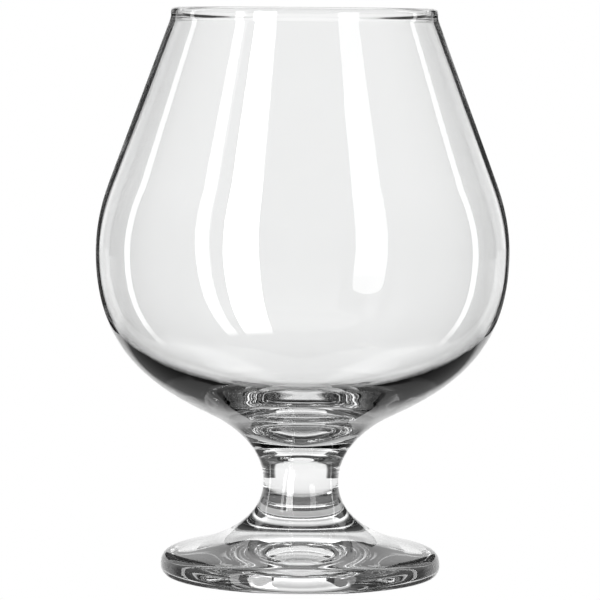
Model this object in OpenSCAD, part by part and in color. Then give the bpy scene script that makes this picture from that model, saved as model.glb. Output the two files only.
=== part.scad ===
// Brandy snifter: a wide blown bowl that draws in to its mouth, on a short solid stem
// and a round foot. Three gathers of clear glass, welded hot at two level planes.
// Origin at the centre of the circle that the foot stands on, +Z up through the mouth.

/* [Bowl] */
// Outer diameter at the widest point
bowl_d = 111; // [100:0.5:120]
// Height from the stem weld up to the widest point
bowl_lower_h = 52.1; // [47:0.1:58]
// Height from the widest point up to the top of the lip
bowl_upper_h = 65.2; // [56:0.1:75]
// Outer diameter where the flare of the neck turns into the round of the bowl
neck_d = 49.6; // [44:0.1:56]
// Height of that turn above the stem weld
neck_h = 8.5; // [6.5:0.1:11]
// Slope of the wall at that turn, in degrees from level
neck_slope = 25.2; // [18:0.1:32]
// How far the wall has drawn in where it turns straight, towards the mouth
shoulder_in = 3.6; // [2.5:0.1:5]
// Height of that place above the widest point
shoulder_h = 18.8; // [15:0.1:24]

/* [Wall] */
// Thickness of the straight wall below the lip
straight_wall = 1.35; // [1:0.05:1.9]
// Thickness at the widest point
belly_wall = 1.15; // [0.9:0.05:1.8]
// Thickness where the side of the cavity turns in to its floor
low_wall = 2.65; // [2:0.05:3.5]
// Slope of the inside at that turn, in degrees from level
cavity_slope = 32.5; // [28:0.5:36]
// Glass between the bottom of the cavity and the stem weld
floor_t = 4.5; // [3:0.1:6]

/* [Lip] */
// Outer diameter of the lip
lip_d = 71.4; // [64:0.1:80]
// Thickness of the melted round of the lip
lip_t = 2.3; // [2:0.05:3]
// How far the lip stands out from the straight wall
lip_bulge = 0.55; // [0.2:0.05:0.9]
// Height over which the wall swells into the lip
lip_swell_h = 3.4; // [3:0.1:6]

/* [Stem] */
// Height from the foot weld up to the bowl weld
stem_h = 21; // [17:0.1:27]
// Diameter at the waist
waist_d = 20.2; // [17:0.1:24]
// Height of the waist above the foot weld
waist_h = 11; // [9:0.1:13]

/* [Foot] */
// Outer diameter of the foot
foot_d = 75.3; // [70:0.1:84]
// Height from the table up to the stem weld
foot_h = 14; // [12.5:0.1:16]
// Height of the widest point of the rounded edge
edge_h = 2.35; // [1.8:0.05:3]
// Diameter where the rounded edge has turned into the sloping top
brim_d = 62.1; // [58:0.1:65]
// Height of the top there
brim_h = 7.4; // [6.4:0.1:8.5]
// Slope of the top there, in degrees from level
brim_slope = 13.4; // [10:0.1:17]
// Outer diameter of the flat ring that stands on the table
ring_d = 72.1; // [68:0.1:73]
// Width of that ring
ring_w = 4; // [2:0.1:6]
// Height of the hollow under the middle of the foot
hollow_h = 4.5; // [2:0.1:5.5]
// Slope of the hollow where it leaves the ring, in degrees from level
hollow_slope = 7; // [5:0.5:14]

/* [Hidden] */
glass_colour = [0.86, 0.92, 0.93, 0.45];

// Straight pieces in each curve of the outline, and in each full turn
curve_steps = 16;
turn_steps = 96;

// Reach of each curve's two handles, as shares of the distance between its ends
edge_reach_shares = [0.35, 0.32];
brim_reach_shares = [0.46, 0.58];
foot_reach_shares = [0.47, 0.33];
neck_reach_shares = [0.395, 0.28];
bowl_reach_shares = [0.356, 0.469];
belly_reach_shares = [0.35, 0.312];
lip_reach_shares = [0.4, 0.4];
cavity_reach_shares = [0.5, 0.295];
floor_reach_shares = [0.2, 0.15];
hollow_reach_shares = [0.35, 0.45];

// Place of the cavity's turn along the outside, from the neck to the widest point
turn_share = 0.33;

// Directions in the half section, in degrees: r to the right and z up
level = 0;
upright = 90;

// Levels that the three pieces stack to
foot_weld_z = foot_h;
bowl_weld_z = foot_weld_z + stem_h;
belly_z = bowl_weld_z + bowl_lower_h;
top_z = belly_z + bowl_upper_h;

// Outside of the glass, from the table up
ring_outer = [ring_d / 2, 0];
edge = [foot_d / 2, edge_h];
brim = [brim_d / 2, brim_h];
waist = [waist_d / 2, foot_weld_z + waist_h];
neck = [neck_d / 2, bowl_weld_z + neck_h];
belly = [bowl_d / 2, belly_z];
shoulder = [belly.x - shoulder_in, belly_z + shoulder_h];

// The lip is a half round on top of the straight wall
lip_r = lip_t / 2;
lip_centre = [lip_d / 2 - lip_r, top_z - lip_r];
wall_at_lip = [lip_d / 2 - lip_bulge, lip_centre.y];
wall_run = wall_at_lip - shoulder;
wall_angle = atan2(wall_run.y, wall_run.x);
swell_share = (top_z - lip_swell_h - shoulder.y) / wall_run.y;
swell = shoulder + wall_run * swell_share;

// Inside of the bowl, which follows the outside at the thickness of its wall
wall_width = straight_wall / sin(wall_angle);
swell_in = swell - [wall_width, 0];
shoulder_inside = shoulder - [wall_width, 0];
belly_inside = belly - [belly_wall, 0];
turn_outside = on_curve(neck, neck_slope, belly, upright, bowl_reach_shares, turn_share);
turn_heading = heading(neck, neck_slope, belly, upright, bowl_reach_shares, turn_share);
turn_inside = reach(turn_outside, turn_heading + upright, low_wall);
cavity_floor = [0, bowl_weld_z + floor_t];

// Underside of the foot
ring_inner = [ring_outer.x - ring_w, 0];
hollow_top = [0, hollow_h];

// A point at a distance from another, in a direction
function reach(from, angle, distance) = from + distance * [cos(angle), sin(angle)];

// The four points of a cubic curve that leaves a and arrives at b in given directions
function handles(a, a_angle, b, b_angle, shares) =
    let (span = norm(b - a))
    [a, reach(a, a_angle, span * shares[0]), reach(b, b_angle, -span * shares[1]), b];

// The point of such a curve at a share t of its run
function on_curve(a, a_angle, b, b_angle, shares, t) =
    let (p = handles(a, a_angle, b, b_angle, shares), s = 1 - t)
    s * s * s * p[0] + 3 * s * s * t * p[1] + 3 * s * t * t * p[2] + t * t * t * p[3];

// Its direction there, in degrees from level
function heading(a, a_angle, b, b_angle, shares, t) =
    let (p = handles(a, a_angle, b, b_angle, shares), s = 1 - t,
         way = s * s * (p[1] - p[0]) + 2 * s * t * (p[2] - p[1]) + t * t * (p[3] - p[2]))
    atan2(way.y, way.x);

// Points along such a curve, without b
function curve(a, a_angle, b, b_angle, shares) =
    [for (i = [0:curve_steps - 1]) on_curve(a, a_angle, b, b_angle, shares, i / curve_steps)];

// The half round of the lip, from its outer side over the top to its inner side
function lip_round() =
    [for (i = [0:curve_steps]) reach(lip_centre, 2 * upright * i / curve_steps, lip_r)];

// Half section of the whole glass, as the outline of one closed shape
outside = concat(
    curve(ring_outer, level, edge, upright, edge_reach_shares),
    curve(edge, upright, brim, 2 * upright - brim_slope, brim_reach_shares),
    curve(brim, 2 * upright - brim_slope, waist, upright, foot_reach_shares),
    curve(waist, upright, neck, neck_slope, neck_reach_shares),
    curve(neck, neck_slope, belly, upright, bowl_reach_shares),
    curve(belly, upright, shoulder, wall_angle, belly_reach_shares),
    [shoulder],
    curve(swell, wall_angle, [lip_d / 2, lip_centre.y], upright, lip_reach_shares));

inside = concat(
    lip_round(),
    [for (i = [1:curve_steps]) on_curve([lip_centre.x - lip_r, lip_centre.y], -upright,
        swell_in, wall_angle + 2 * upright, lip_reach_shares, i / curve_steps)],
    curve(shoulder_inside, wall_angle + 2 * upright, belly_inside, -upright,
        [belly_reach_shares[1], belly_reach_shares[0]]),
    curve(belly_inside, -upright, turn_inside, cavity_slope + 2 * upright, cavity_reach_shares),
    curve(turn_inside, cavity_slope + 2 * upright, cavity_floor, 2 * upright, floor_reach_shares),
    [cavity_floor]);

underside = concat(
    curve(hollow_top, level, ring_inner, -hollow_slope, hollow_reach_shares),
    [ring_inner]);

// The part of the glass between two levels
module gather(from_z, to_z) {
    color(glass_colour)
        rotate_extrude($fn = turn_steps)
            intersection() {
                polygon(concat(outside, inside, underside));
                translate([0, from_z]) square([belly.x, to_z - from_z]);
            }
}

// Blown bowl: cavity, floor and melted lip
module bowl() { gather(bowl_weld_z, top_z); }

// Solid stem, narrowest at its waist
module stem() { gather(foot_weld_z, bowl_weld_z); }

// Round foot with a flat standing ring and a hollow inside it
module foot() { gather(0, foot_weld_z); }

bowl();
stem();
foot();
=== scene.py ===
"""A clear brandy snifter on a pale floor, dressed for a studio picture.

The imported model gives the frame. Each of the three gathers of glass, the bowl, the stem and the foot, is
turned from its half section by one Geometry Nodes tree and takes the place of its CAD node. The studio is
built as a photographer lights clear glass: a bright field behind it, and little light from the sides, so
that edges draw dark.
"""

import logging
import math
from dataclasses import dataclass, field
from enum import Enum

import bpy
from mathutils import Matrix, Vector

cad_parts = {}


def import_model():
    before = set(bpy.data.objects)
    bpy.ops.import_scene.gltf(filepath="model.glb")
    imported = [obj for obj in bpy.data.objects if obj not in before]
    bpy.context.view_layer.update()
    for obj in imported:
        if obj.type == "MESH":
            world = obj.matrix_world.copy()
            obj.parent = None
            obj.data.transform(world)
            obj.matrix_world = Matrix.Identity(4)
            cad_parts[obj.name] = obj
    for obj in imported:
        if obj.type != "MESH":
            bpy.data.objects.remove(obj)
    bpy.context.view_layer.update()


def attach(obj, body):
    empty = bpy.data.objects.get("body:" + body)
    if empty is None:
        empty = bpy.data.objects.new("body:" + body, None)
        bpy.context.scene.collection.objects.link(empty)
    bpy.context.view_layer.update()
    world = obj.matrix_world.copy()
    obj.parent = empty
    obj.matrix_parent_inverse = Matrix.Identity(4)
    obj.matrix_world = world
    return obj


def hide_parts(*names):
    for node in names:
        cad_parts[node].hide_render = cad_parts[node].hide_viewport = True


LOG = logging.getLogger("snifter")
MM = 0.001

# Directions in the half section, in degrees from level
LEVEL = 0.0
UPRIGHT = 90.0
HALF_TURN = 180.0

# Reach of each curve's two handles, as shares of the distance between its ends, as in the CAD source
EDGE_SHARES = (0.35, 0.32)
BRIM_SHARES = (0.46, 0.58)
FOOT_SHARES = (0.47, 0.33)
NECK_SHARES = (0.395, 0.28)
BOWL_SHARES = (0.356, 0.469)
BELLY_SHARES = (0.35, 0.312)
LIP_SHARES = (0.4, 0.4)
CAVITY_SHARES = (0.5, 0.295)
FLOOR_SHARES = (0.2, 0.15)
HOLLOW_SHARES = (0.35, 0.45)

# Straight steps in each of these curves
EDGE_STEPS = 28
BRIM_STEPS = 40
FOOT_STEPS = 220
FLARE_STEPS = 160
BOWL_STEPS = 72
BELLY_STEPS = 24
LIP_STEPS = 14
CAVITY_STEPS = 64
FLOOR_STEPS = 56
HOLLOW_STEPS = 72

# Short steps beside a weld, and how far from it the outline's own points begin, in mm
WELD_STEPS = (0.0, 0.015, 0.06)
WELD_CLEAR = 0.1
# How far past its last point a run is cut where it has no weld, in mm
PAST_END = 1.0
# Where the outline is close enough to count as the same height, in mm
SAME_HEIGHT = 1e-6
# Half a count, which keeps whole numbers clear of a limit
HALF = 0.5

Point = tuple[float, float]
Stops = tuple[tuple[float, float], ...]


# Half sections


def reach(start: Point, angle: float, distance: float) -> Point:
    """Gives the point at a distance from another.

    Args:
        start: Where the step begins, as radius and height in mm.
        angle: Its direction, in degrees from level.
        distance: Its length in mm.

    Returns:
        The point where the step ends.
    """
    turn = math.radians(angle)
    return (start[0] + distance * math.cos(turn), start[1] + distance * math.sin(turn))


@dataclass(frozen=True)
class Sweep:
    """A cubic curve of the outline, which leaves one point and arrives at another in given directions."""

    start: Point
    start_angle: float
    end: Point
    end_angle: float
    shares: tuple[float, float]

    def at(self, share: float) -> Point:
        """Gives the point at a share of the curve's run.

        Args:
            share: From 0 at the start to 1 at the end.

        Returns:
            The point, as radius and height in mm.
        """
        span = math.dist(self.start, self.end)
        first = reach(self.start, self.start_angle, span * self.shares[0])
        second = reach(self.end, self.end_angle, -span * self.shares[1])
        rest = 1.0 - share
        weights = (rest**3, 3 * rest * rest * share, 3 * rest * share * share, share**3)
        handles = (self.start, first, second, self.end)
        return (
            sum(w * p[0] for w, p in zip(weights, handles)),
            sum(w * p[1] for w, p in zip(weights, handles)),
        )

    def heading(self, share: float) -> float:
        """Gives the curve's direction at a share of its run, in degrees from level."""
        step = 1e-5
        before, after = self.at(share - step), self.at(share + step)
        return math.degrees(math.atan2(after[1] - before[1], after[0] - before[0]))

    def points(self, steps: int) -> list[Point]:
        """Gives the curve's points, the last one left out, at even shares of its run."""
        return [self.at(i / steps) for i in range(steps)]


@dataclass(frozen=True)
class SnifterSizes:
    """Sizes of the whole glass in mm, the same as the CAD source's named values."""

    bowl_d: float = 111.0
    bowl_lower_h: float = 52.1
    bowl_upper_h: float = 65.2
    neck_d: float = 49.6
    neck_h: float = 8.5
    neck_slope: float = 25.2
    shoulder_in: float = 3.6
    shoulder_h: float = 18.8
    straight_wall: float = 1.35
    belly_wall: float = 1.15
    low_wall: float = 2.65
    cavity_slope: float = 32.5
    floor_t: float = 4.5
    lip_d: float = 71.4
    lip_t: float = 2.3
    lip_bulge: float = 0.55
    lip_swell_h: float = 3.4
    stem_h: float = 21.0
    waist_d: float = 20.2
    waist_h: float = 11.0
    foot_d: float = 75.3
    foot_h: float = 14.0
    edge_h: float = 2.35
    brim_d: float = 62.1
    brim_h: float = 7.4
    brim_slope: float = 13.4
    ring_d: float = 72.1
    ring_w: float = 4.0
    hollow_h: float = 4.5
    hollow_slope: float = 7.0
    turn_share: float = 0.33

    @property
    def foot_weld_z(self) -> float:
        """Height of the weld between foot and stem."""
        return self.foot_h

    @property
    def bowl_weld_z(self) -> float:
        """Height of the weld between stem and bowl."""
        return self.foot_h + self.stem_h

    @property
    def belly_z(self) -> float:
        """Height of the widest point."""
        return self.bowl_weld_z + self.bowl_lower_h

    @property
    def top_z(self) -> float:
        """Height of the top of the lip."""
        return self.belly_z + self.bowl_upper_h

    @property
    def belly(self) -> Point:
        """Outside of the bowl's widest point."""
        return (self.bowl_d / 2, self.belly_z)

    @property
    def shoulder(self) -> Point:
        """Place above the belly where the wall turns straight."""
        return (self.belly[0] - self.shoulder_in, self.belly[1] + self.shoulder_h)

    @property
    def waist(self) -> Point:
        """Outside of the stem's waist."""
        return (self.waist_d / 2, self.foot_weld_z + self.waist_h)

    @property
    def brim(self) -> Point:
        """Place where the foot's rounded edge has turned into its sloping top."""
        return (self.brim_d / 2, self.brim_h)

    @property
    def neck(self) -> Point:
        """Place where the flare of the neck turns into the round of the bowl."""
        return (self.neck_d / 2, self.bowl_weld_z + self.neck_h)

    def flare_of_foot(self) -> Sweep:
        """Gives the outside from the foot's brim up to the waist."""
        return Sweep(self.brim, HALF_TURN - self.brim_slope, self.waist, UPRIGHT, FOOT_SHARES)

    def flare_of_neck(self) -> Sweep:
        """Gives the outside from the waist up to the neck."""
        return Sweep(self.waist, UPRIGHT, self.neck, self.neck_slope, NECK_SHARES)

    def round_of_bowl(self) -> Sweep:
        """Gives the outside from the neck up to the belly."""
        return Sweep(self.neck, self.neck_slope, self.belly, UPRIGHT, BOWL_SHARES)


def part_between(points: list[Point], low: float, high: float) -> list[Point]:
    """Cuts a rising run of points at two levels, with two short steps beside each cut.

    The short steps keep the shading of two pieces the same on both sides of their weld.

    Args:
        points: The run, in rising order.
        low: Level of the lower cut in mm.
        high: Level of the upper cut in mm.

    Returns:
        The run between the two levels, both ends included.
    """

    def level_point(level: float) -> Point:
        for (r0, z0), (r1, z1) in zip(points, points[1:]):
            if z0 <= level <= z1 and z1 > z0:
                share = (level - z0) / (z1 - z0)
                return (r0 + (r1 - r0) * share, level)
        return points[0] if level < points[0][1] else points[-1]

    kept = [level_point(low + step) for step in WELD_STEPS]
    kept += [p for p in points if low + WELD_CLEAR < p[1] < high - WELD_CLEAR]
    return kept + [level_point(high - step) for step in reversed(WELD_STEPS)]


# Finishes


def new_finish(name: str) -> tuple[bpy.types.Material, bpy.types.NodeTree]:
    """Makes a material with an empty node tree.

    Args:
        name: Name of the finish.

    Returns:
        The material and its tree.
    """
    material = bpy.data.materials.new(name)
    material.use_nodes = True
    material.node_tree.nodes.clear()
    return material, material.node_tree


def give_surface(tree: bpy.types.NodeTree, shader: bpy.types.NodeSocket) -> None:
    """Gives a material's tree the shader that its surface shows."""
    out = tree.nodes.new("ShaderNodeOutputMaterial")
    tree.links.new(shader, out.inputs["Surface"])


@dataclass(frozen=True)
class ClearGlass:
    """Hot-worked clear glass, polished, with the faint swirl that the gather leaves in its skin."""

    name: str = "polished_clear_glass"
    ior: float = 1.52
    tint: tuple[float, float, float] = (0.996, 0.999, 0.998)
    swirl_size: float = 0.011
    swirl_stretch: tuple[float, float, float] = (1.0, 1.0, 0.45)
    swirl_detail: float = 1.5
    swirl_distortion: float = 0.6
    swirl_depth: float = 0.00002
    haze_size: float = 0.004
    haze_detail: float = 4.0
    haze_range: tuple[float, float] = (0.45, 0.8)
    haze: float = 0.004

    def build(self) -> bpy.types.Material:
        """Makes the material.

        Returns:
            A material that a piece of glass takes in its first slot.
        """
        material = bpy.data.materials.new(self.name)
        material.use_nodes = True
        nodes, links = material.node_tree.nodes, material.node_tree.links
        shader = nodes["Principled BSDF"]
        shader.inputs["Base Color"].default_value = (*self.tint, 1.0)
        shader.inputs["Transmission Weight"].default_value = 1.0
        shader.inputs["IOR"].default_value = self.ior
        place = nodes.new("ShaderNodeTexCoord")
        stretch = nodes.new("ShaderNodeMapping")
        stretch.inputs["Scale"].default_value = self.swirl_stretch
        links.new(place.outputs["Object"], stretch.inputs["Vector"])
        swirl = nodes.new("ShaderNodeTexNoise")
        swirl.inputs["Scale"].default_value = 1.0 / self.swirl_size
        swirl.inputs["Detail"].default_value = self.swirl_detail
        swirl.inputs["Distortion"].default_value = self.swirl_distortion
        links.new(stretch.outputs["Vector"], swirl.inputs["Vector"])
        skin = nodes.new("ShaderNodeBump")
        skin.inputs["Strength"].default_value = 1.0
        skin.inputs["Distance"].default_value = self.swirl_depth
        links.new(swirl.outputs["Fac"], skin.inputs["Height"])
        links.new(skin.outputs["Normal"], shader.inputs["Normal"])
        cloud = nodes.new("ShaderNodeTexNoise")
        cloud.inputs["Scale"].default_value = 1.0 / self.haze_size
        cloud.inputs["Detail"].default_value = self.haze_detail
        links.new(place.outputs["Object"], cloud.inputs["Vector"])
        haze = nodes.new("ShaderNodeMapRange")
        haze.inputs["From Min"].default_value = self.haze_range[0]
        haze.inputs["From Max"].default_value = self.haze_range[1]
        haze.inputs["To Min"].default_value = 0.0
        haze.inputs["To Max"].default_value = self.haze
        links.new(cloud.outputs["Fac"], haze.inputs["Value"])
        links.new(haze.outputs["Result"], shader.inputs["Roughness"])
        return material


@dataclass(frozen=True)
class WeldedGlass:
    """The inside of a hot weld, where glass runs on into glass and nothing shows."""

    name: str = "weld"

    def build(self) -> bpy.types.Material:
        """Makes the material, which lets all light straight through."""
        material, tree = new_finish(self.name)
        give_surface(tree, tree.nodes.new("ShaderNodeBsdfTransparent").outputs["BSDF"])
        return material


@dataclass(frozen=True)
class Glow:
    """The even light of the floor and the backdrop."""

    name: str
    strength: float

    def build(self) -> bpy.types.Material:
        """Makes the material."""
        material, tree = new_finish(self.name)
        light = tree.nodes.new("ShaderNodeEmission")
        light.inputs["Strength"].default_value = self.strength
        give_surface(tree, light.outputs["Emission"])
        return material


class Measure(Enum):
    """What a graded light is measured along, on Object coordinates."""

    DISTANCE = "distance from the axis, in metres"
    HEIGHT = "height above the table, in metres"
    BEARING = "bearing from straight behind the glass, in degrees"


@dataclass(frozen=True)
class Grade:
    """A level that changes smoothly along a measure: each stop is a place on it, and the level there."""

    measure: Measure
    stops: Stops

    def place(self, tree: bpy.types.NodeTree) -> bpy.types.NodeSocket:
        """Adds nodes that measure the shaded point.

        Args:
            tree: The material's node tree.

        Returns:
            The socket with the measure's value.
        """
        nodes, links = tree.nodes, tree.links
        split = nodes.new("ShaderNodeSeparateXYZ")
        links.new(nodes.new("ShaderNodeTexCoord").outputs["Object"], split.inputs["Vector"])
        if self.measure is Measure.HEIGHT:
            return split.outputs["Z"]
        if self.measure is Measure.DISTANCE:
            flat = nodes.new("ShaderNodeCombineXYZ")
            links.new(split.outputs["X"], flat.inputs["X"])
            links.new(split.outputs["Y"], flat.inputs["Y"])
            length = nodes.new("ShaderNodeVectorMath")
            length.operation = "LENGTH"
            links.new(flat.outputs["Vector"], length.inputs[0])
            return length.outputs["Value"]
        found = calculate(tree, "ARCTAN2", split.outputs["X"], split.outputs["Y"])
        return calculate(tree, "DEGREES", calculate(tree, "ABSOLUTE", found))

    def build(self, tree: bpy.types.NodeTree) -> bpy.types.NodeSocket:
        """Adds nodes that find the level at the shaded point.

        Args:
            tree: The material's node tree.

        Returns:
            The socket with the level.
        """
        low, high = self.stops[0][0], self.stops[-1][0]
        top = max(level for _, level in self.stops)
        run = tree.nodes.new("ShaderNodeMapRange")
        run.inputs["From Min"].default_value = low
        run.inputs["From Max"].default_value = high
        tree.links.new(self.place(tree), run.inputs["Value"])
        ramp = tree.nodes.new("ShaderNodeValToRGB")
        elements = ramp.color_ramp.elements
        while len(elements) > 1:
            elements.remove(elements[-1])
        for i, (at, level) in enumerate(self.stops):
            share = (at - low) / (high - low)
            stop = elements[0] if i == 0 else elements.new(share)
            stop.position = share
            stop.color = (level / top, level / top, level / top, 1.0)
        tree.links.new(run.outputs["Result"], ramp.inputs["Fac"])
        return calculate(tree, "MULTIPLY", ramp.outputs["Color"], top)


def calculate(
    tree: bpy.types.NodeTree,
    operation: str,
    first: bpy.types.NodeSocket,
    second: bpy.types.NodeSocket | float = 0.0,
) -> bpy.types.NodeSocket:
    """Adds one step of arithmetic.

    Args:
        tree: The material's node tree.
        operation: Name of the operation.
        first: Its first value.
        second: Its second value, where it has one.

    Returns:
        The socket with the outcome.
    """
    step = tree.nodes.new("ShaderNodeMath")
    step.operation = operation
    tree.links.new(first, step.inputs[0])
    if isinstance(second, float):
        step.inputs[1].default_value = second
    else:
        tree.links.new(second, step.inputs[1])
    return step.outputs["Value"]


Layers = tuple[tuple[Grade, ...], ...]


def build_layers(tree: bpy.types.NodeTree, layers: Layers) -> bpy.types.NodeSocket:
    """Adds an emission that is the sum of layers, each of which is a product of grades.

    Args:
        tree: The material's node tree.
        layers: The layers.

    Returns:
        The socket with the emission.
    """
    whole: bpy.types.NodeSocket | None = None
    for grades in layers:
        level = grades[0].build(tree)
        for grade in grades[1:]:
            level = calculate(tree, "MULTIPLY", level, grade.build(tree))
        whole = level if whole is None else calculate(tree, "ADD", whole, level)
    light = tree.nodes.new("ShaderNodeEmission")
    tree.links.new(whole, light.inputs["Strength"])
    return light.outputs["Emission"]


@dataclass(frozen=True)
class GradedGlow:
    """A light that changes smoothly over its surface.

    Light that was only refracted on its way meets the straight layers. Light that was mirrored inside the
    glass on its way meets the mirrored layers, where there are any.
    """

    name: str
    straight: Layers
    mirrored: Layers = ()

    def build(self) -> bpy.types.Material:
        """Makes the material."""
        material, tree = new_finish(self.name)
        found = build_layers(tree, self.straight)
        if self.mirrored:
            found = choose_by_path(tree, found, build_layers(tree, self.mirrored))
        give_surface(tree, found)
        return material


@dataclass(frozen=True)
class BoxGlow:
    """The face of a soft box: bright where the glass's outside mirrors it, and dimmer from inside the glass.

    Light that passes straight through the walls doesn't meet it, so that the bowl stays clear from every
    side. Light from inside the glass meets it only where it has passed few surfaces.
    """

    name: str
    radiance: float
    inner_radiance: float
    rise: Grade
    surfaces_passed: float = 2.5

    def build(self) -> bpy.types.Material:
        """Makes the material."""
        material, tree = new_finish(self.name)
        through = tree.nodes.new("ShaderNodeBsdfTransparent")
        light = tree.nodes.new("ShaderNodeEmission")
        path = tree.nodes.new("ShaderNodeLightPath")
        outer = calculate(tree, "SUBTRACT", path.outputs["Is Transmission Ray"], 1.0)
        outer = calculate(tree, "MULTIPLY", outer, -self.radiance)
        inner = calculate(tree, "LESS_THAN", path.outputs["Transmission Depth"], self.surfaces_passed)
        inner = calculate(tree, "MULTIPLY", inner, path.outputs["Is Transmission Ray"])
        inner = calculate(tree, "MULTIPLY", inner, self.inner_radiance)
        level = calculate(tree, "MULTIPLY", calculate(tree, "ADD", outer, inner), self.rise.build(tree))
        tree.links.new(level, light.inputs["Strength"])
        give_surface(tree, choose_by_path(tree, through.outputs["BSDF"], light.outputs["Emission"]))
        return material


@dataclass(frozen=True)
class EdgeCard:
    """A dark card beside the glass, met only by light that was mirrored in the glass on its way.

    Light that passes straight through the walls doesn't meet it, so that the bowl stays clear from every
    side.
    """

    name: str
    radiance: float

    def build(self) -> bpy.types.Material:
        """Makes the material."""
        material, tree = new_finish(self.name)
        through = tree.nodes.new("ShaderNodeBsdfTransparent")
        dark = tree.nodes.new("ShaderNodeEmission")
        dark.inputs["Strength"].default_value = self.radiance
        give_surface(tree, choose_by_path(tree, through.outputs["BSDF"], dark.outputs["Emission"]))
        return material


def choose_by_path(
    tree: bpy.types.NodeTree, straight: bpy.types.NodeSocket, mirrored: bpy.types.NodeSocket
) -> bpy.types.NodeSocket:
    """Chooses between two shaders by whether light was mirrored in the glass on its way.

    Args:
        tree: The material's node tree.
        straight: Shader for light that was only refracted.
        mirrored: Shader for light that was mirrored at least once.

    Returns:
        The socket with the chosen shader.
    """
    path = tree.nodes.new("ShaderNodeLightPath")
    turned = calculate(tree, "GREATER_THAN", path.outputs["Glossy Depth"], HALF)
    mix = tree.nodes.new("ShaderNodeMixShader")
    tree.links.new(turned, mix.inputs["Fac"])
    tree.links.new(straight, mix.inputs[1])
    tree.links.new(mirrored, mix.inputs[2])
    return mix.outputs["Shader"]


Finish = Glow | GradedGlow | BoxGlow | EdgeCard


# Turned glass


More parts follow.
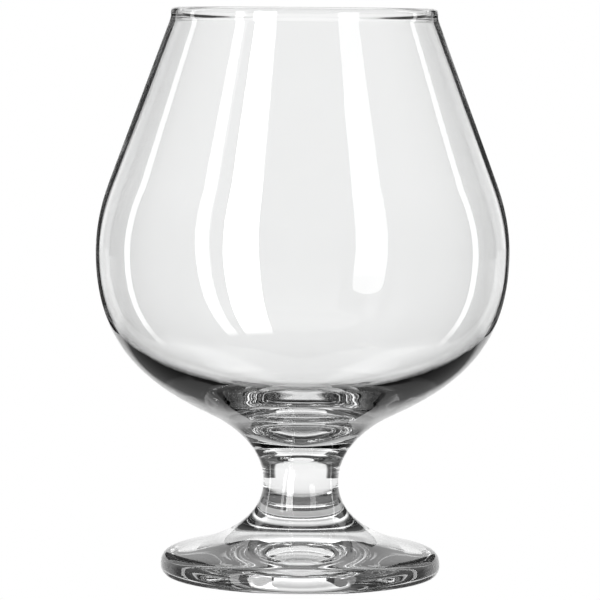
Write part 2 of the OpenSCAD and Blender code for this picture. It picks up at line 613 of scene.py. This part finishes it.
@dataclass
class Turning:
    """Turns a half section about the glass's axis with a Geometry Nodes tree.

    The section is a run of vertices that begins and ends on the axis. A grid has a row for each vertex and a
    column for each step of the turn; every grid vertex moves to its row's radius and height. Rows of faces at
    either end may be weld faces, which are flat and take the weld's finish.
    """

    steps: int = 240
    merge: float = 2e-6
    tree: bpy.types.NodeTree | None = None
    sockets: dict[str, str] = field(default_factory=dict)

    def build(self) -> None:
        """Makes the tree and notes the identifier of each of its named inputs."""
        tree = bpy.data.node_groups.new("turned_glass", "GeometryNodeTree")
        face = tree.interface
        face.new_socket("Half section", in_out="INPUT", socket_type="NodeSocketGeometry")
        for name, kind in (
            ("Turn steps", "NodeSocketInt"),
            ("First weld rows", "NodeSocketInt"),
            ("Last weld rows", "NodeSocketInt"),
            ("Merge distance", "NodeSocketFloat"),
            ("Glass", "NodeSocketMaterial"),
            ("Weld", "NodeSocketMaterial"),
        ):
            made = face.new_socket(name, in_out="INPUT", socket_type=kind)
            self.sockets[name] = made.identifier
        face.new_socket("Turned piece", in_out="OUTPUT", socket_type="NodeSocketGeometry")
        nodes, links = tree.nodes, tree.links
        given = nodes.new("NodeGroupInput")
        turns = given.outputs["Turn steps"]

        size = nodes.new("GeometryNodeAttributeDomainSize")
        links.new(given.outputs["Half section"], size.inputs["Geometry"])
        rows = size.outputs["Point Count"]
        columns = calculate(tree, "ADD", turns, 1.0)
        grid = nodes.new("GeometryNodeMeshGrid")
        links.new(rows, grid.inputs["Vertices X"])
        links.new(columns, grid.inputs["Vertices Y"])
        index = nodes.new("GeometryNodeInputIndex").outputs["Index"]
        inside = calculate(tree, "ADD", index, HALF)
        row = calculate(tree, "FLOOR", calculate(tree, "DIVIDE", inside, columns))
        column = calculate(tree, "SUBTRACT", index, calculate(tree, "MULTIPLY", row, columns))
        turn = calculate(tree, "MULTIPLY", calculate(tree, "DIVIDE", column, turns), math.tau)

        place = nodes.new("GeometryNodeInputPosition")
        sample = nodes.new("GeometryNodeSampleIndex")
        sample.data_type = "FLOAT_VECTOR"
        sample.domain = "POINT"
        links.new(given.outputs["Half section"], sample.inputs["Geometry"])
        links.new(place.outputs["Position"], sample.inputs["Value"])
        links.new(row, sample.inputs["Index"])
        split = nodes.new("ShaderNodeSeparateXYZ")
        links.new(sample.outputs["Value"], split.inputs["Vector"])
        join = nodes.new("ShaderNodeCombineXYZ")
        for wave, axis in (("COSINE", "X"), ("SINE", "Y")):
            moved = calculate(tree, "MULTIPLY", split.outputs["X"], calculate(tree, wave, turn))
            links.new(moved, join.inputs[axis])
        links.new(split.outputs["Z"], join.inputs["Z"])
        move = nodes.new("GeometryNodeSetPosition")
        links.new(grid.outputs["Mesh"], move.inputs["Geometry"])
        links.new(join.outputs["Vector"], move.inputs["Position"])

        face_row = calculate(tree, "FLOOR", calculate(tree, "DIVIDE", inside, turns))
        first = calculate(tree, "LESS_THAN", face_row, given.outputs["First weld rows"])
        last_row = calculate(tree, "SUBTRACT", rows, 1.0 + HALF)
        last_row = calculate(tree, "SUBTRACT", last_row, given.outputs["Last weld rows"])
        last = calculate(tree, "GREATER_THAN", face_row, last_row)
        weld = calculate(tree, "MAXIMUM", first, last)
        keep = nodes.new("GeometryNodeStoreNamedAttribute")
        keep.data_type = "BOOLEAN"
        keep.domain = "FACE"
        keep.inputs["Name"].default_value = "weld_face"
        links.new(move.outputs["Geometry"], keep.inputs["Geometry"])
        links.new(weld, keep.inputs["Value"])
        close = nodes.new("GeometryNodeMergeByDistance")
        links.new(keep.outputs["Geometry"], close.inputs["Geometry"])
        links.new(given.outputs["Merge distance"], close.inputs["Distance"])
        named = nodes.new("GeometryNodeInputNamedAttribute")
        named.data_type = "BOOLEAN"
        named.inputs["Name"].default_value = "weld_face"
        is_weld = named.outputs["Attribute"]
        open_face = nodes.new("FunctionNodeBooleanMath")
        open_face.operation = "NOT"
        links.new(is_weld, open_face.inputs[0])
        outward = nodes.new("GeometryNodeFlipFaces")
        links.new(close.outputs["Geometry"], outward.inputs["Mesh"])
        smooth = nodes.new("GeometryNodeSetShadeSmooth")
        smooth.domain = "FACE"
        links.new(outward.outputs["Mesh"], smooth.inputs["Geometry"])
        links.new(open_face.outputs[0], smooth.inputs["Shade Smooth"])
        real = nodes.new("GeometryNodeRealizeInstances")
        links.new(smooth.outputs["Geometry"], real.inputs["Geometry"])
        dress = nodes.new("GeometryNodeSetMaterial")
        links.new(real.outputs["Geometry"], dress.inputs["Geometry"])
        links.new(given.outputs["Glass"], dress.inputs["Material"])
        seam = nodes.new("GeometryNodeSetMaterial")
        links.new(dress.outputs["Geometry"], seam.inputs["Geometry"])
        links.new(is_weld, seam.inputs["Selection"])
        links.new(given.outputs["Weld"], seam.inputs["Material"])
        made = nodes.new("NodeGroupOutput")
        links.new(seam.outputs["Geometry"], made.inputs[0])
        self.tree = tree

    def turn(
        self,
        name: str,
        section: list[Point],
        welds: tuple[int, int],
        glass: bpy.types.Material,
        weld: bpy.types.Material,
    ) -> bpy.types.Object:
        """Makes one turned piece.

        Args:
            name: Name of the piece.
            section: Its half section in mm, from the axis round to the axis.
            welds: How many rows of faces at its start and at its end are weld faces.
            glass: Finish of its outside.
            weld: Finish of its weld faces.

        Returns:
            The piece as a plain mesh object at the origin.
        """
        run = [(r * MM, 0.0, z * MM) for r, z in section]
        edges = [(i, i + 1) for i in range(len(run) - 1)]
        line = bpy.data.meshes.new(f"{name}_section")
        line.from_pydata(run, edges, [])
        piece = bpy.data.objects.new(name, line)
        bpy.context.scene.collection.objects.link(piece)
        turned = piece.modifiers.new("turned", "NODES")
        turned.node_group = self.tree
        for key, value in (
            ("Turn steps", self.steps),
            ("First weld rows", welds[0]),
            ("Last weld rows", welds[1]),
            ("Merge distance", self.merge),
            ("Glass", glass),
            ("Weld", weld),
        ):
            turned[self.sockets[key]] = value
        view = bpy.context.evaluated_depsgraph_get()
        mesh = bpy.data.meshes.new_from_object(piece.evaluated_get(view))
        mesh.name = name
        piece.modifiers.clear()
        piece.data = mesh
        if mesh.materials[0] is None:
            mesh.materials.pop(index=0)
        if "weld_face" in mesh.attributes:
            mesh.attributes.remove(mesh.attributes["weld_face"])
        bpy.data.meshes.remove(line)
        return piece


class Gather:
    """One of the three gathers of glass: a section of the whole glass that replaces its CAD node."""

    node = ""

    def __init__(self, sizes: SnifterSizes) -> None:
        """Keeps the sizes of the whole glass."""
        self.sizes = sizes

    def section(self) -> list[Point]:
        """Gives the half section in mm, from the axis round to the axis."""
        raise NotImplementedError

    def welds(self) -> tuple[int, int]:
        """Gives the number of rows of weld faces at the section's start and end."""
        raise NotImplementedError

    def build(
        self, turning: Turning, glass: bpy.types.Material, weld: bpy.types.Material
    ) -> bpy.types.Object:
        """Makes the gather, attaches it to the root body and hides its CAD node.

        Args:
            turning: The tree that turns sections.
            glass: Finish of the outside.
            weld: Finish of the weld faces.

        Returns:
            The finished piece.
        """
        piece = turning.turn(f"{self.node}_glass", self.section(), self.welds(), glass, weld)
        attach(piece, "root")
        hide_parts(self.node)
        LOG.info("%s: %d faces", piece.name, len(piece.data.polygons))
        return piece


class Bowl(Gather):
    """The blown bowl: a thin wall over a thick floor, with a melted lip."""

    node = "bowl"
    # One point of the flare's fine steps in this many is kept below the neck
    neck_thinning = 3

    def outside(self) -> list[Point]:
        """Gives the outside from the stem weld up to the lip."""
        s, angle = self.sizes, self.wall_angle()
        low = s.flare_of_neck().points(FLARE_STEPS) + s.round_of_bowl().points(BOWL_STEPS)
        run = part_between(low + [s.belly], s.bowl_weld_z, s.belly_z + PAST_END)
        run = [p for p in run if p[1] < s.belly_z - SAME_HEIGHT]
        beside, above = run[: len(WELD_STEPS)], run[len(WELD_STEPS) :]
        run = beside + [p for i, p in enumerate(above) if p[0] > s.neck[0] or i % self.neck_thinning == 0]
        run += Sweep(s.belly, UPRIGHT, s.shoulder, angle, BELLY_SHARES).points(BELLY_STEPS)
        swell, _, centre, _ = self.lip()
        run += [s.shoulder]
        run += Sweep(swell, angle, (s.lip_d / 2, centre[1]), UPRIGHT, LIP_SHARES).points(LIP_STEPS)
        return run

    def lip(self) -> tuple[Point, Point, Point, float]:
        """Gives where the wall begins to swell outside and inside, and the lip's centre and radius."""
        s = self.sizes
        r = s.lip_t / 2
        centre = (s.lip_d / 2 - r, s.top_z - r)
        shoulder = s.shoulder
        at_lip = (s.lip_d / 2 - s.lip_bulge, centre[1])
        run = (at_lip[0] - shoulder[0], at_lip[1] - shoulder[1])
        share = (s.top_z - s.lip_swell_h - shoulder[1]) / run[1]
        swell = (shoulder[0] + run[0] * share, shoulder[1] + run[1] * share)
        return swell, (swell[0] - self.wall_width(), swell[1]), centre, r

    def wall_angle(self) -> float:
        """Gives the direction of the straight wall, in degrees from level."""
        s = self.sizes
        r = s.lip_t / 2
        rise = s.top_z - r - s.belly_z - s.shoulder_h
        draw = s.lip_d / 2 - s.lip_bulge - s.bowl_d / 2 + s.shoulder_in
        return math.degrees(math.atan2(rise, draw))

    def wall_width(self) -> float:
        """Gives the straight wall's width, measured level."""
        return self.sizes.straight_wall / math.sin(math.radians(self.wall_angle()))

    def inside(self) -> list[Point]:
        """Gives the lip and the cavity, down to the middle of the floor."""
        s = self.sizes
        angle = self.wall_angle()
        _, swell_in, centre, r = self.lip()
        run = [reach(centre, HALF_TURN * i / LIP_STEPS, r) for i in range(LIP_STEPS + 1)]
        swelling = Sweep(swell_in, angle, (centre[0] - r, centre[1]), UPRIGHT, LIP_SHARES)
        run += [swelling.at(1 - i / LIP_STEPS) for i in range(1, LIP_STEPS + 1)]
        belly_in = (s.belly[0] - s.belly_wall, s.belly_z)
        shoulder_in = (s.shoulder[0] - self.wall_width(), s.shoulder[1])
        shares = (BELLY_SHARES[1], BELLY_SHARES[0])
        run += Sweep(shoulder_in, angle + HALF_TURN, belly_in, -UPRIGHT, shares).points(BELLY_STEPS)
        outer = s.round_of_bowl()
        turn = reach(outer.at(s.turn_share), outer.heading(s.turn_share) + UPRIGHT, s.low_wall)
        floor = (0.0, s.bowl_weld_z + s.floor_t)
        side = s.cavity_slope + HALF_TURN
        run += Sweep(belly_in, -UPRIGHT, turn, side, CAVITY_SHARES).points(CAVITY_STEPS)
        run += Sweep(turn, side, floor, HALF_TURN, FLOOR_SHARES).points(FLOOR_STEPS)
        return run + [floor]

    def section(self) -> list[Point]:
        """Gives the bowl's half section."""
        return [(0.0, self.sizes.bowl_weld_z)] + self.outside() + self.inside()

    def welds(self) -> tuple[int, int]:
        """Gives one row of weld faces, under the bowl."""
        return (1, 0)


class Stem(Gather):
    """The short solid stem, narrowest at its waist."""

    node = "stem"
    # One point in this many is kept between the steps beside the welds
    thinning = 2

    def section(self) -> list[Point]:
        """Gives the stem's half section."""
        s = self.sizes
        side = s.flare_of_foot().points(FLARE_STEPS) + s.flare_of_neck().points(FLARE_STEPS) + [s.neck]
        run = part_between(side, s.foot_weld_z, s.bowl_weld_z)
        ends = len(WELD_STEPS)
        run = run[:ends] + run[ends : -ends : self.thinning] + run[-ends:]
        return [(0.0, s.foot_weld_z)] + run + [(0.0, s.bowl_weld_z)]

    def welds(self) -> tuple[int, int]:
        """Gives one row of weld faces at each end."""
        return (1, 1)


class Foot(Gather):
    """The round foot with its rounded edge, its flat standing ring and the hollow inside it."""

    node = "foot"
    # One point in this many is kept on the flare
    thinning = 2

    def section(self) -> list[Point]:
        """Gives the foot's half section."""
        s = self.sizes
        ring_out = (s.ring_d / 2, 0.0)
        ring_in = (s.ring_d / 2 - s.ring_w, 0.0)
        edge = (s.foot_d / 2, s.edge_h)
        hollow = Sweep((0.0, s.hollow_h), LEVEL, ring_in, -s.hollow_slope, HOLLOW_SHARES)
        run = hollow.points(HOLLOW_STEPS) + [ring_in]
        run += Sweep(ring_out, LEVEL, edge, UPRIGHT, EDGE_SHARES).points(EDGE_STEPS)
        run += Sweep(edge, UPRIGHT, s.brim, HALF_TURN - s.brim_slope, BRIM_SHARES).points(BRIM_STEPS)
        side = s.flare_of_foot().points(FOOT_STEPS)
        top = [p for p in side if p[1] < s.foot_weld_z - WELD_CLEAR][:: self.thinning]
        end = part_between(side, s.foot_weld_z - PAST_END, s.foot_weld_z)[-len(WELD_STEPS) :]
        return run + top + end + [(0.0, s.foot_weld_z)]

    def welds(self) -> tuple[int, int]:
        """Gives one row of weld faces, on top of the foot."""
        return (0, 1)


# Studio


class Seen(Enum):
    """By which light a piece of the set is seen."""

    CAMERA = "by the camera"
    THROUGH = "through the glass"
    MIRRORED = "mirrored in the glass"
    BOTH = "through the glass and mirrored in it"


Corner = tuple[float, float, float]


@dataclass(frozen=True)
class SetPiece:
    """A piece of the set: its points and faces, a finish, and by which light it is seen."""

    name: str
    points: list[Corner]
    finish: Finish
    seen: Seen
    faces: list[tuple[int, ...]] | None = None

    def build(self) -> bpy.types.Object:
        """Makes the piece, one flat face where no faces are given, and sets which rays meet it."""
        mesh = bpy.data.meshes.new(self.name)
        mesh.from_pydata(self.points, [], self.faces or [tuple(range(len(self.points)))])
        mesh.materials.append(self.finish.build())
        piece = bpy.data.objects.new(self.name, mesh)
        bpy.context.scene.collection.objects.link(piece)
        show(piece, self.seen)
        return piece


def show(piece: bpy.types.Object, seen: Seen) -> None:
    """Sets which rays meet a piece of the set.

    Args:
        piece: The piece.
        seen: By which light it is seen.
    """
    piece.visible_camera = seen is Seen.CAMERA
    piece.visible_glossy = seen in (Seen.MIRRORED, Seen.BOTH)
    piece.visible_transmission = seen in (Seen.THROUGH, Seen.BOTH)
    piece.visible_diffuse = seen is Seen.THROUGH
    piece.visible_volume_scatter = False
    piece.visible_shadow = False


@dataclass(frozen=True)
class Panel:
    """An upright light or card that follows an arc about the glass.

    Its place is an arc in degrees from the camera's side, positive to the right, at its foot and at its head,
    and a distance in metres. The lower corners may be rounded off.
    """

    name: str
    foot_arc: tuple[float, float]
    head_arc: tuple[float, float]
    distance: float
    heights: tuple[float, float]
    finish: Finish
    seen: Seen
    rounding: float = 0.0
    columns: int = 16
    rows: int = 12

    def build(self) -> bpy.types.Object:
        """Makes the panel as a grid of faces and sets which rays meet it."""
        points: list[Corner] = []
        low, high = self.heights
        for i in range(self.columns + 1):
            across = i / self.columns
            bow = self.rounding * (1 - math.sqrt(max(0.0, 1 - (2 * across - 1) ** 2)))
            for j in range(self.rows + 1):
                z = low + bow + (high - low - bow) * j / self.rows
                rise = (z - low) / (high - low)
                start = self.foot_arc[0] + (self.head_arc[0] - self.foot_arc[0]) * rise
                end = self.foot_arc[1] + (self.head_arc[1] - self.foot_arc[1]) * rise
                turn = math.radians(start + (end - start) * across)
                points.append((math.sin(turn) * self.distance, -math.cos(turn) * self.distance, z))
        step = self.rows + 1
        faces = [
            (i * step + j, (i + 1) * step + j, (i + 1) * step + j + 1, i * step + j + 1)
            for i in range(self.columns)
            for j in range(self.rows)
        ]
        return SetPiece(self.name, points, self.finish, self.seen, faces).build()


@dataclass(frozen=True)
class SoftBox:
    """A tall light that the glass mirrors: its arcs at the foot and the head, its heights and its radiance.

    The second radiance is met by light inside the glass. The fade is the height over which the foot of the
    light comes up, and the rounding that of its lower corners.
    """

    name: str
    foot_arc: tuple[float, float]
    head_arc: tuple[float, float]
    heights: tuple[float, float]
    radiance: float
    inner_radiance: float = 0.0
    fade: float = 0.0
    rounding: float = 0.0
    distance: float = 0.7
    shortest_fade: float = 1e-4

    def build(self) -> bpy.types.Object:
        """Makes the light, which fades in over its lowest part."""
        low, high = self.heights
        start = 0.0 if self.fade else 1.0
        rise = Grade(
            Measure.HEIGHT, ((low, start), (low + self.fade + self.shortest_fade, 1.0), (high, 1.0))
        )
        finish = BoxGlow(f"{self.name}_light", self.radiance, self.inner_radiance, rise)
        seen = Seen.BOTH if self.inner_radiance else Seen.MIRRORED
        arcs = (self.foot_arc, self.head_arc)
        return Panel(self.name, *arcs, self.distance, self.heights, finish, seen, self.rounding).build()


@dataclass
class Studio:
    """The floor, the backdrop and the lights.

    Lengths are in metres. Stops are by distance from the axis, by bearing from straight behind the glass, or
    by height above the table (the names that end in up, and the skirt's). Straight light was only refracted
    by the glass, mirrored light was mirrored inside it, and the room is what its outside mirrors.
    """

    room: float = 0.2
    floor_half: float = 6.0
    floor_drop: float = 0.0005
    backdrop_radius: float = 7.0
    backdrop_rows: int = 24
    backdrop_columns: int = 48
    turn_columns: int = 96
    table_radius: float = 2.6
    table_drop: float = 0.0002
    # Painted shadow: light seen through the glass finds the table dark round the foot, lightening outward to
    # an even 0.97
    table_straight_painted_shadow: Stops = (
        (0.0, 0.33), (0.04, 0.36), (0.045, 0.55), (0.05, 0.72), (0.06, 0.8), (0.08, 0.89),
        (0.1, 0.915), (0.15, 0.94), (0.3, 0.95), (0.6, 0.965), (1.0, 0.97), (2.6, 0.97)
    )
    table_mirrored_painted_shadow: Stops = (
        # Painted shadow for mirrored light: dark round the foot and stem, lighter outward
        (0.0, 0.15), (0.02, 0.15), (0.026, 0.02), (0.046, 0.02), (0.054, 0.3),
        (0.075, 0.45), (0.12, 0.6), (0.17, 0.55), (0.35, 0.5), (0.6, 0.8), (2.6, 0.9)
    )
    # Painted shade by bearing: mirrored light finds the table lit behind the glass and dark in front of it
    table_front_painted_shade: Stops = ((0.0, 1.0), (45.0, 1.0), (58.0, 0.25), (110.0, 0.1), (180.0, 0.1))
    wall_height: float = 4.5
    wall_stops: Stops = (
        (0.0, 0.97), (30.0, 0.97), (34.0, 0.12), (40.0, 0.05), (56.0, 0.04), (62.0, 0.1),
        (75.0, 0.16), (85.0, 0.3), (95.0, 0.35), (110.0, 0.2), (180.0, 0.15)
    )
    wall_mirrored_stops: Stops = (
        (0.0, 0.85), (13.0, 0.85), (20.0, 1.15), (29.0, 1.15), (35.0, 0.5), (42.0, 0.35),
        (47.0, 0.05), (60.0, 0.05), (70.0, 0.06), (85.0, 0.1), (100.0, 0.15), (130.0, 0.3),
        (180.0, 0.25)
    )
    wall_mirrored_up: Stops = (
        (-0.05, 1.0), (0.45, 1.05), (0.7, 0.65), (0.95, 0.65), (1.3, 0.85), (1.8, 1.2),
        (2.15, 1.75), (2.7, 1.75), (3.15, 1.0), (4.5, 0.8)
    )
    ceiling_mirrored: float = 1.0
    ceiling_reflected: float = 0.8
    room_round: Stops = ((0.0, 0.0), (45.0, 0.0), (55.0, 0.2), (110.0, 0.2), (135.0, 0.45), (180.0, 0.5))
    room_back: Stops = ((0.0, 1.0), (35.0, 1.0), (50.0, 0.7), (60.0, 0.0), (180.0, 0.0))
    room_back_up: Stops = (
        (-4.5, 0.0), (-0.95, 0.0), (-0.75, 0.95), (0.5, 1.0), (1.2, 1.1), (1.9, 1.1),
        (2.4, 2.0), (4.5, 2.0)
    )
    room_low: Stops = ((0.0, 1.0), (13.0, 1.0), (19.0, 0.25), (35.0, 0.15), (60.0, 0.0), (180.0, 0.0))
    room_low_up: Stops = ((-4.5, 1.0), (-0.95, 1.0), (-0.75, 0.0), (4.5, 0.0))
    room_side: Stops = ((0.0, 0.0), (45.0, 0.05), (58.0, 0.8), (110.0, 0.8), (135.0, 0.1), (180.0, 0.0))
    room_side_up: Stops = ((-4.5, 0.0), (0.0, 0.0), (0.4, 0.1), (1.3, 0.9), (2.0, 1.0), (4.5, 1.0))
    wall_drop: float = 0.05
    skirt_stops: Stops = ((0.0, 0.95), (0.25, 0.6), (0.6, 0.2))
    skirt_mirrored: float = 0.1
    skirt_inset: float = 0.1
    skirt_drop: float = 0.01
    skirt_arc: tuple[float, float] = (-86, 86)
    flag_distance: float = 1.3
    flag_height: float = 2.2
    flag_right_arc: tuple[float, float] = (85, 136)
    flag_left_arc: tuple[float, float] = (224, 275)
    soft_boxes: tuple[SoftBox, ...] = (
        SoftBox("strip_far_left", (-110.5, -105.5), (-115, -108.5), (-0.5, 0.8), 4.0, 0.0, 0.25),
        SoftBox("strip_left", (-49.5, -42), (-67.5, -58.5), (-0.6, 0.8), 5.5, 1.8, 0.1),
        SoftBox("window_left", (-37, -18.5), (-47.5, -27), (-0.6, 0.8), 12.0, 1.8, 0.15),
        SoftBox("window_right", (26, 43), (31.5, 51), (-0.12, 0.68), 3.8, 1.8, 0.0, 0.06),
        SoftBox("strip_far_right", (103, 108), (106, 112), (-0.5, 0.8), 4.0, 0.0, 0.25),
    )
    card_offset: float = 0.1
    card_run: tuple[float, float] = (0.09, 0.3)
    card_heights: tuple[float, float] = (0.03, 0.2)
    card_radiance: float = 0.03

    def build(self) -> None:
        """Makes the set."""
        self.build_world()
        self.build_floor()
        self.build_backdrop()
        self.build_walls()
        self.build_edge_cards()
        self.build_ceiling()
        for box in self.soft_boxes:
            box.build()
        LOG.info("studio: %d lights mirrored in the glass", len(self.soft_boxes))

    def disc(self, height: float) -> list[Corner]:
        """Gives the corners of a level disc as wide as the table."""
        turns = [math.tau * i / self.turn_columns for i in range(self.turn_columns)]
        radius = self.table_radius
        return [(math.sin(turn) * radius, -math.cos(turn) * radius, height) for turn in turns]

    def build_floor(self) -> None:
        """Makes the pale floor that the camera sees, and the table that the glass shows, whose light carries
        a painted shadow round the glass.
        """
        half = self.floor_half
        square = ((-half, -half), (half, -half), (half, half), (-half, half))
        corners = [(x, y, -self.floor_drop) for x, y in square]
        SetPiece("floor", corners, Glow("floor_white", 1.0), Seen.CAMERA).build()
        # Painted shadow of the glass on the table: darker round its foot, and for mirrored light also darker
        # in front
        straight = ((Grade(Measure.DISTANCE, self.table_straight_painted_shadow),),)
        front_painted_shade = Grade(Measure.BEARING, self.table_front_painted_shade)
        mirrored = ((Grade(Measure.DISTANCE, self.table_mirrored_painted_shadow), front_painted_shade),)
        light = GradedGlow("table_light_painted_shadow", straight, mirrored)
        SetPiece("table", self.disc(-self.table_drop), light, Seen.THROUGH).build()

    def build_around(self, name: str, heights: tuple[float, float], light: GradedGlow, seen: Seen) -> None:
        """Makes a light that goes all the way round the table's edge."""
        turn = (0, 360)
        Panel(name, turn, turn, self.table_radius, heights, light, seen, columns=self.turn_columns).build()

    def build_walls(self) -> None:
        """Makes the walls of light that the glass shows and mirrors, and the flags at either side."""

        def both(bearing: Stops, height: Stops) -> tuple[Grade, Grade]:
            return (Grade(Measure.BEARING, bearing), Grade(Measure.HEIGHT, height))

        straight = (Grade(Measure.BEARING, self.wall_stops),)
        mirrored = both(self.wall_mirrored_stops, self.wall_mirrored_up)
        wall = GradedGlow("wall_light", (straight,), (mirrored,))
        self.build_around("wall", (-self.wall_drop, self.wall_height), wall, Seen.THROUGH)
        layers = (
            (Grade(Measure.BEARING, self.room_round),),
            both(self.room_side, self.room_side_up),
            both(self.room_back, self.room_back_up),
            both(self.room_low, self.room_low_up),
        )
        room = GradedGlow("room_light", layers)
        self.build_around("room", (-self.wall_height, self.wall_height), room, Seen.MIRRORED)
        dark = Grade(Measure.HEIGHT, ((0.0, self.skirt_mirrored), (self.wall_height, self.skirt_mirrored)))
        skirt = GradedGlow("skirt_light", ((Grade(Measure.HEIGHT, self.skirt_stops),),), ((dark,),))
        heights = (-self.skirt_drop, self.skirt_stops[-1][0])
        distance = self.table_radius - self.skirt_inset
        Panel("skirt", self.skirt_arc, self.skirt_arc, distance, heights, skirt, Seen.THROUGH).build()
        heights = (-self.skirt_drop, self.flag_height)
        for side, arc in (("right", self.flag_right_arc), ("left", self.flag_left_arc)):
            Panel(f"flag_{side}", arc, arc, self.flag_distance, heights, wall, Seen.THROUGH).build()

    def build_ceiling(self) -> None:
        """Makes the soft light overhead, which only light that was mirrored by the glass meets."""
        level = Grade(Measure.HEIGHT, ((-1.0, 1.0), (self.wall_height + 1.0, 1.0)))
        finish = BoxGlow("ceiling_light", self.ceiling_reflected, self.ceiling_mirrored, level)
        SetPiece("ceiling", self.disc(self.wall_height), finish, Seen.BOTH).build()

    def build_edge_cards(self) -> None:
        """Makes the two cards that draw the dark edges of the bowl."""
        (near, far), (bottom, top) = self.card_run, self.card_heights
        for side, x in (("left", -self.card_offset), ("right", self.card_offset)):
            corners = [(x, near, bottom), (x, far, bottom), (x, far, top), (x, near, top)]
            finish = EdgeCard(f"edge_card_{side}_black", self.card_radiance)
            SetPiece(f"edge_card_{side}", corners, finish, Seen.BOTH).build()

    def build_world(self) -> None:
        """Fills the room with a dim even light."""
        world = bpy.data.worlds.new("room")
        world.use_nodes = True
        back = world.node_tree.nodes["Background"]
        back.inputs["Color"].default_value = (1.0, 1.0, 1.0, 1.0)
        back.inputs["Strength"].default_value = self.room
        bpy.context.scene.world = world

    def build_backdrop(self) -> None:
        """Makes the white ball round the set that the camera sees as the backdrop."""
        rows, columns, radius = self.backdrop_rows, self.backdrop_columns, self.backdrop_radius
        points: list[Corner] = []
        faces: list[tuple[int, ...]] = []
        for i in range(rows + 1):
            rise = math.pi * i / rows
            out, up = radius * math.sin(rise), radius * math.cos(rise)
            for j in range(columns):
                turn = math.tau * j / columns
                points.append((out * math.cos(turn), out * math.sin(turn), up))
                if i < rows:
                    this, after = i * columns, (j + 1) % columns
                    faces.append((this + j, this + columns + j, this + columns + after, this + after))
        SetPiece("backdrop", points, Glow("backdrop_white", 1.0), Seen.CAMERA, faces).build()


@dataclass(frozen=True)
class Viewpoint:
    """The camera: its place and reach in metres, its fall and tilt in radians, and its lens in mm."""

    place: tuple[float, float, float] = (-0.0006065, -0.9921473, 0.1591627)
    fall: float = 0.08560957
    tilt: float = 0.00793538
    lens: float = 222.3332
    sensor: float = 36.0
    nearest: float = 0.05
    farthest: float = 50.0

    def build(self) -> bpy.types.Object:
        """Makes the camera and gives it to the scene."""
        data = bpy.data.cameras.new("camera")
        data.sensor_width = self.sensor
        data.lens = self.lens
        data.clip_start = self.nearest
        data.clip_end = self.farthest
        camera = bpy.data.objects.new("camera", data)
        bpy.context.scene.collection.objects.link(camera)
        ahead = Vector((0.0, math.cos(self.fall), -math.sin(self.fall)))
        up = Vector((0.0, math.sin(self.fall), math.cos(self.fall)))
        turned = Matrix((Vector((1.0, 0.0, 0.0)), up, -ahead)).transposed().to_4x4()
        camera.matrix_world = Matrix.Translation(self.place) @ turned @ Matrix.Rotation(self.tilt, 4, "Z")
        bpy.context.scene.camera = camera
        return camera


def set_light_paths(scene: bpy.types.Scene, surfaces: int = 24, mirrorings: int = 16) -> None:
    """Lets light pass through as many walls of glass as the snifter has.

    Args:
        scene: The scene to set.
        surfaces: How many surfaces light may pass.
        mirrorings: How often it may be mirrored.
    """
    scene.view_settings.view_transform = "Standard"
    scene.cycles.max_bounces = surfaces
    scene.cycles.transmission_bounces = surfaces
    scene.cycles.glossy_bounces = mirrorings
    scene.cycles.transparent_max_bounces = surfaces
    scene.cycles.caustics_reflective = True
    scene.cycles.caustics_refractive = True


def main() -> None:
    """Builds the camera, the glass and the studio."""
    logging.basicConfig(level=logging.INFO, format="%(name)s: %(message)s")
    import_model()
    Viewpoint().build()
    set_light_paths(bpy.context.scene)
    glass, weld = ClearGlass().build(), WeldedGlass().build()
    turning = Turning()
    turning.build()
    sizes = SnifterSizes()
    for gather in (Bowl(sizes), Stem(sizes), Foot(sizes)):
        gather.build(turning, glass, weld)
    Studio().build()


if __name__ == "__main__":
    main()
